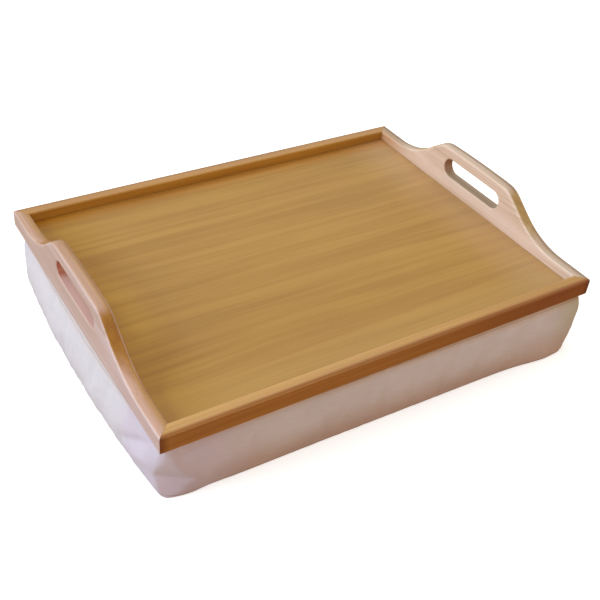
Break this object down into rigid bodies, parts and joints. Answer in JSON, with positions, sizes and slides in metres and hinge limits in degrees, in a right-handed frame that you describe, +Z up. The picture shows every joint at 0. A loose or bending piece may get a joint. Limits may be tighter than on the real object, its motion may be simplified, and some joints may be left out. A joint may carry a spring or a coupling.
{
  "type": "lap tray",
  "caption": "Rectangular wooden lap tray with a low rim and a raised, slotted hand hold at each short end, standing on a fabric cushion filled with beads and held by hook-and-loop tape.",
  "frame": {"origin": "middle of the cushion's flat base, on the surface it stands on", "axes": "+X along the tray's long side towards the right hand hold, +Y towards the back, +Z up"},
  "size_m": [0.439, 0.334, 0.1131],
  "materials": {
    "frame_wood": "satin",
    "deck_wood": "satin",
    "cover_fabric": "matte",
    "bag_fabric": "matte",
    "beads": "matte",
    "strip": "matte",
    "zip_tape": "matte",
    "zip_plastic": "satin",
    "zip_metal": "satin",
    "steel": "satin"
  },
  "bodies": {
    "cushion": {"cover_top_panel": "cover_fabric", "cover_base_panel": "cover_fabric", "cover_front_wall": "cover_fabric", "cover_left_wall": "cover_fabric", "cover_right_wall": "cover_fabric", "cover_back_wall_upper": "cover_fabric", "cover_back_wall_lower": "cover_fabric", "zip_tape_upper": "zip_tape", "zip_tape_lower": "zip_tape", "zip_teeth_upper": "zip_plastic", "zip_teeth_lower": "zip_plastic", "zip_top_stop_upper": "zip_metal", "zip_top_stop_lower": "zip_metal", "zip_bottom_stop": "zip_metal", "loop_strip_front_left": "strip", "loop_strip_front_right": "strip", "loop_strip_back_left": "strip", "loop_strip_back_right": "strip", "inner_bag": "bag_fabric", "bead_filling": "beads"},
    "tray": {"front_rail": "frame_wood", "back_rail": "frame_wood", "left_end_board": "frame_wood", "right_end_board": "frame_wood", "deck_panel": "deck_wood", "corner_nail_front_left": "steel", "corner_nail_front_right": "steel", "corner_nail_back_left": "steel", "corner_nail_back_right": "steel", "hook_strip_front_left": "strip", "hook_strip_front_right": "strip", "hook_strip_back_left": "strip", "hook_strip_back_right": "strip"},
    "slider": {"zip_slider": "zip_metal"},
    "pull": {"zip_pull": "zip_metal"}
  },
  "joints": [
    {"name": "tray_lift", "type": "slide", "parent": "cushion", "child": "tray", "axis": [0, 0, 1], "range_m": [0, 0.12]},
    {"name": "zip_slide", "type": "slide", "parent": "cushion", "child": "slider", "axis": [1, 0, 0], "range_m": [-0.2325, 0], "deforming": ["zip_teeth_upper", "zip_teeth_lower"]},
    {"name": "zip_pull_flip", "type": "hinge", "parent": "slider", "child": "pull", "pos_m": [0.1173, 0.1671, 0.03], "axis": [0, 0, -1], "range_deg": [0, 180]}
  ]
}
